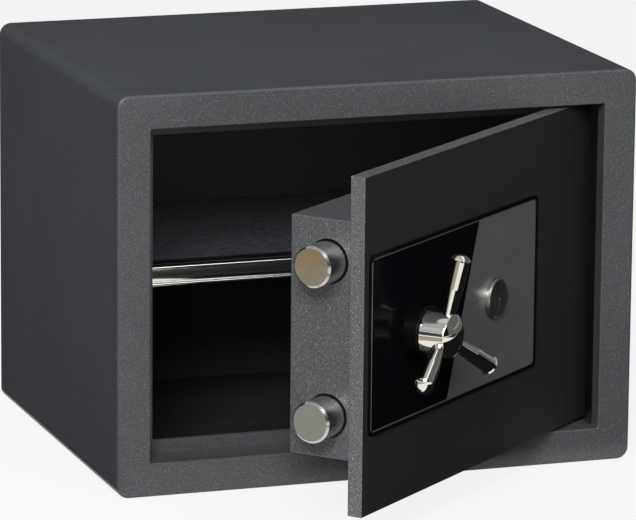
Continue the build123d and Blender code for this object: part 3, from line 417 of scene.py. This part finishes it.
def felt_mesh(name, low, size):
    """A sheet with soft rounded edges and a slightly uneven face."""
    step, rim, rim_share = 0.004, 0.0009, 0.35
    swell, ripple = (18, 3.1, 0.00012), (90, 7.7, 0.00009)

    def lines(length):
        count = round(length / step)
        inner = [rim + (length - 2 * rim) * i / count for i in range(count + 1)]
        return [0.0, rim * rim_share] + inner + [length - rim * rim_share, length]

    def height(x, y):
        inset = min(x, size.x - x, y, size.y - y)
        fall = 0.0 if inset >= rim else rim - math.sqrt(max(0.0, rim**2 - (rim - inset) ** 2))
        waves = sum(
            (noise.noise(Vector((x * scale, y * scale, seed))) - 1) * depth
            for scale, seed, depth in (swell, ripple)
        )
        return size.z - fall + waves

    xs, ys = lines(size.x), lines(size.y)
    bm = bmesh.new()
    top = [[bm.verts.new(low + Vector((x, y, height(x, y)))) for x in xs] for y in ys]
    base = [[bm.verts.new(low + Vector((x, y, 0.0))) for x in xs] for y in ys]
    for j in range(len(ys) - 1):
        for i in range(len(xs) - 1):
            bm.faces.new((top[j][i], top[j][i + 1], top[j + 1][i + 1], top[j + 1][i]))
            bm.faces.new((base[j][i], base[j + 1][i], base[j + 1][i + 1], base[j][i + 1]))
    for i in range(len(xs) - 1):
        bm.faces.new((base[0][i], base[0][i + 1], top[0][i + 1], top[0][i]))
        bm.faces.new((base[-1][i + 1], base[-1][i], top[-1][i], top[-1][i + 1]))
    for j in range(len(ys) - 1):
        bm.faces.new((base[j + 1][0], base[j][0], top[j][0], top[j + 1][0]))
        bm.faces.new((base[j][-1], base[j + 1][-1], top[j + 1][-1], top[j][-1]))
    return as_object(name, bm)


def drill(piece, place, radius):
    """Cuts an upright round hole through a piece."""
    depth, segments = 0.02, 48
    bm = bmesh.new()
    bmesh.ops.create_cone(
        bm,
        cap_ends=True,
        segments=segments,
        radius1=radius,
        radius2=radius,
        depth=depth,
        matrix=Matrix.Translation(place),
    )
    cutter = as_object("cutter", bm)
    cut = piece.modifiers.new("hole", "BOOLEAN")
    cut.operation, cut.solver, cut.object = "DIFFERENCE", "EXACT", cutter
    bpy.context.view_layer.update()
    evaluated = piece.evaluated_get(bpy.context.evaluated_depsgraph_get())
    cut_mesh = bpy.data.meshes.new_from_object(evaluated)
    piece.modifiers.clear()
    piece.data = cut_mesh
    bpy.data.objects.remove(cutter)


def carpet(name, node, cloth, hole_places=()):
    """A felt sheet in place of a flat CAD solid, with round holes."""
    hole_radius = 0.010
    low, high = (Vector(corner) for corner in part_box(node))
    size = high - low
    piece = felt_mesh(name, low, size)
    for x, y in hole_places:
        drill(piece, (x, y, low.z), hole_radius)
    for polygon in piece.data.polygons:
        polygon.use_smooth = True
    piece.data.materials.clear()
    piece.data.materials.append(cloth.material)
    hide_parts(node)
    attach(piece, "case")


mounts = {mount["name"]: mount for mount in frame["record"]["mounts"]}
anchors = mounts["base_anchor_holes"]
anchor_x, anchor_y, _ = anchors["pos_m"]
half_gap = anchors["dims"]["spacing_x_mm"] / 2000
anchor_places = [(anchor_x + side * half_gap, anchor_y) for side in (-1, 1)]
# The shelf felt is darkened along its front edge as painted shade
shelf_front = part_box("shelf_carpet")[0][1]
shelf_cloth = felt("shelf_cloth", (0.0026, 0.0027, 0.004), (0.043, 0.045, 0.059), shelf_front)
# The floor felt is a darker copy of the shelf felt, as painted shade under the shelf
shaded_floor_cloth = felt("shaded_floor_cloth", (0.0006, 0.0006, 0.0009), (0.0075, 0.008, 0.0105))
carpet("shelf_felt", "shelf_carpet", shelf_cloth)
carpet("floor_felt", "floor_carpet", shaded_floor_cloth, anchor_places)

# Camera, at the photograph's place and angle. Its turns are in radians.
camera_place = (-1.06267, -3.08443, 0.84823)
camera_turns = ((-0.333534, "Z"), (-0.221099, "X"), (-0.0093607, "Y"))
camera_data = bpy.data.cameras.new("camera")
camera_data.sensor_width = 36.0
camera_data.lens = 284.32
camera_data.clip_start, camera_data.clip_end = 0.05, 60.0
camera = bpy.data.objects.new("camera", camera_data)
turn = Matrix.Identity(3)
for angle, axis in camera_turns:
    turn = turn @ Matrix.Rotation(angle, 3, axis)
right, forward, up = turn.col[0], turn.col[1], turn.col[2]
pose = Matrix((right, up, -forward)).transposed().to_4x4()
pose.translation = camera_place
camera.matrix_world = pose
bpy.context.scene.collection.objects.link(camera)
bpy.context.scene.camera = camera


# Stage: a pale floor, soft lamps, and cards that only reflections see
def seen_share(tree):
    """1 for rays that come from the camera, a mirror or glass."""
    path = tree.nodes.new("ShaderNodeLightPath")
    total = path.outputs["Is Camera Ray"]
    for extra in ("Is Glossy Ray", "Is Transmission Ray"):
        both = tree.nodes.new("ShaderNodeMath")
        both.operation = "MAXIMUM"
        tree.links.new(total, both.inputs[0])
        tree.links.new(path.outputs[extra], both.inputs[1])
        total = both.outputs[0]
    return total


def stage_sheet(name, width, height, place, facing):
    bm = bmesh.new()
    corners = ((-1, -1), (1, -1), (1, 1), (-1, 1))
    bm.faces.new([bm.verts.new((x * width / 2, y * height / 2, 0)) for x, y in corners])
    obj = as_object(name, bm)
    aim = Vector(facing).to_track_quat("Z", "Y").to_matrix().to_4x4()
    obj.matrix_world = Matrix.Translation(place) @ aim
    return obj


floor_size, floor_glow = 14, 0.86
seen_white, lit_grey = (0.9, 0.9, 0.9), (0.34, 0.34, 0.34)
floor = stage_sheet("floor", floor_size, floor_size, (0, 0, 0), (0, 0, 1))
paper = Shader("floor_paper")
from_camera = paper.add("LightPath").outputs["Is Camera Ray"]
paper.set(Base_Color=paper.blend(from_camera, lit_grey, seen_white), Roughness=0.9)
paper.set(Specular_IOR_Level=0.1)
glow = paper.add("Emission", {"Color": (1, 1, 1, 1), "Strength": 1.0})
mix = paper.add("MixShader")
glow_share = paper.math("MULTIPLY", seen_share(paper.tree), floor_glow)
for value, socket in ((glow_share, 0), (paper.bsdf.outputs[0], 1), (glow.outputs[0], 2)):
    paper.join(value, mix.inputs[socket])
output = next(n for n in paper.tree.nodes if n.type == "OUTPUT_MATERIAL")
paper.join(mix.outputs[0], output.inputs["Surface"])
floor.data.materials.append(paper.material)

ambient, white = 0.19, 1.0
world = bpy.data.worlds.new("studio")
world.use_nodes = True
bpy.context.scene.world = world
tree = world.node_tree
background = tree.nodes["Background"]
background.inputs["Color"].default_value = (1, 1, 1, 1)
strength = tree.nodes.new("ShaderNodeMapRange")
strength.inputs["To Min"].default_value = ambient
strength.inputs["To Max"].default_value = white
tree.links.new(seen_share(tree), strength.inputs["Value"])
tree.links.new(strength.outputs[0], background.inputs["Strength"])


def lamp(name, place, target, width, height, watts):
    data = bpy.data.lights.new(name, "AREA")
    data.shape, data.size, data.size_y, data.energy = "RECTANGLE", width, height, watts
    obj = bpy.data.objects.new(name, data)
    aim = (Vector(place) - Vector(target)).to_track_quat("Z", "Y").to_matrix().to_4x4()
    obj.matrix_world = Matrix.Translation(place) @ aim
    obj.visible_camera = False
    bpy.context.scene.collection.objects.link(obj)
    return obj


# Each lamp's name, place, target, width, height and watts
lamp("key", (-1.1, -2.35, 1.7), (-0.05, -0.15, 0.13), 1.0, 1.0, 54)
lamp("low", (-1.2, -2.5, 0.75), (-0.05, -0.15, 0.15), 0.8, 0.6, 4)
lamp("top", (-0.2, -0.2, 2.0), (0, 0, 0.2), 1.4, 1.0, 0.8)
lamp("fill", (0.9, -2.4, 1.5), (0, -0.1, 0.1), 0.8, 0.8, 7)
inner = lamp("inner", (-0.05, -0.112, 0.232), (-0.05, 0.11, 0.14), 0.2, 0.008, 0.42)
left = lamp("left", (-0.7, 0.05, 0.55), (-0.175, 0, 0.2), 0.4, 0.3, 0.85)
inner.visible_glossy = left.visible_glossy = False


def card(name, width, height, place, facing, shade):
    """A glowing or dark card that only mirror-like reflections see."""
    obj = stage_sheet(name, width, height, place, facing)
    s = Shader(name)
    s.set(Base_Color=(0, 0, 0, 1), Roughness=1.0, Specular_IOR_Level=0.0)
    s.set(Emission_Color=(*shade, 1.0), Emission_Strength=1.0)
    obj.data.materials.append(s.material)
    obj.visible_camera = obj.visible_diffuse = False
    obj.visible_shadow = obj.visible_transmission = False


dark, dusk = (0.008, 0.008, 0.009), (0.05, 0.055, 0.08)
grey, amber = (0.35, 0.35, 0.32), (0.36, 0.23, 0.06)

# Each card's name, width, height, place, facing direction and shade
card("far_right", 6.0, 4.0, (2.6, -0.2, 2.0), (-1, 0, 0), (0.12, 0.12, 0.125))
card("strip_right", 4.0, 0.22, (2.5, 0.6, 0.62), (-1, 0, 0), (0.26, 0.25, 0.22))
card("floor_side", 2.6, 2.4, (1.5, 1.05, 0.004), (0, 0, 1), dark)
card("floor_near", 2.9, 0.45, (1.4, -0.375, 0.004), (0, 0, 1), dark)
card("floor_front", 2.2, 1.2, (1.8, -1.25, 0.004), (0, 0, 1), dark)
card("floor_left", 2.23, 3.2, (-1.287, 1.3, 0.006), (0, 0, 1), dark)
card("back_left", 4.0, 3.0, (-2.6, 2.2, 1.5), (1, -0.6, 0), dark)
card("back", 6.0, 4.0, (0.0, 2.6, 2.0), (0, -1, 0), (0.03, 0.03, 0.03))
card("front_right", 3.4, 2.4, (0.9, -3.4, 1.2), (-0.2, 1, 0), dark)
card("band_left", 5.0, 0.85, (-2.7, -0.8, 0.62), (1, 0, 0), dusk)
card("line_left", 5.0, 0.14, (-2.7, -0.8, 1.27), (1, 0, 0), dark)
card("cloud_left", 5.0, 1.2, (-2.7, -0.8, 1.96), (1, 0, -0.2), (0.5, 0.5, 0.5))
card("ceiling", 3.8, 5.0, (-0.9, -1.1, 2.6), (0, 0, -1), (0.4, 0.4, 0.41))
card("floor_grey", 0.57, 1.8, (-0.575, -0.6, 0.004), (0, 0, 1), grey)
card("floor_amber", 1.04, 1.8, (-1.38, -0.6, 0.004), (0, 0, 1), amber)

bpy.context.scene.view_settings.view_transform = "Standard"
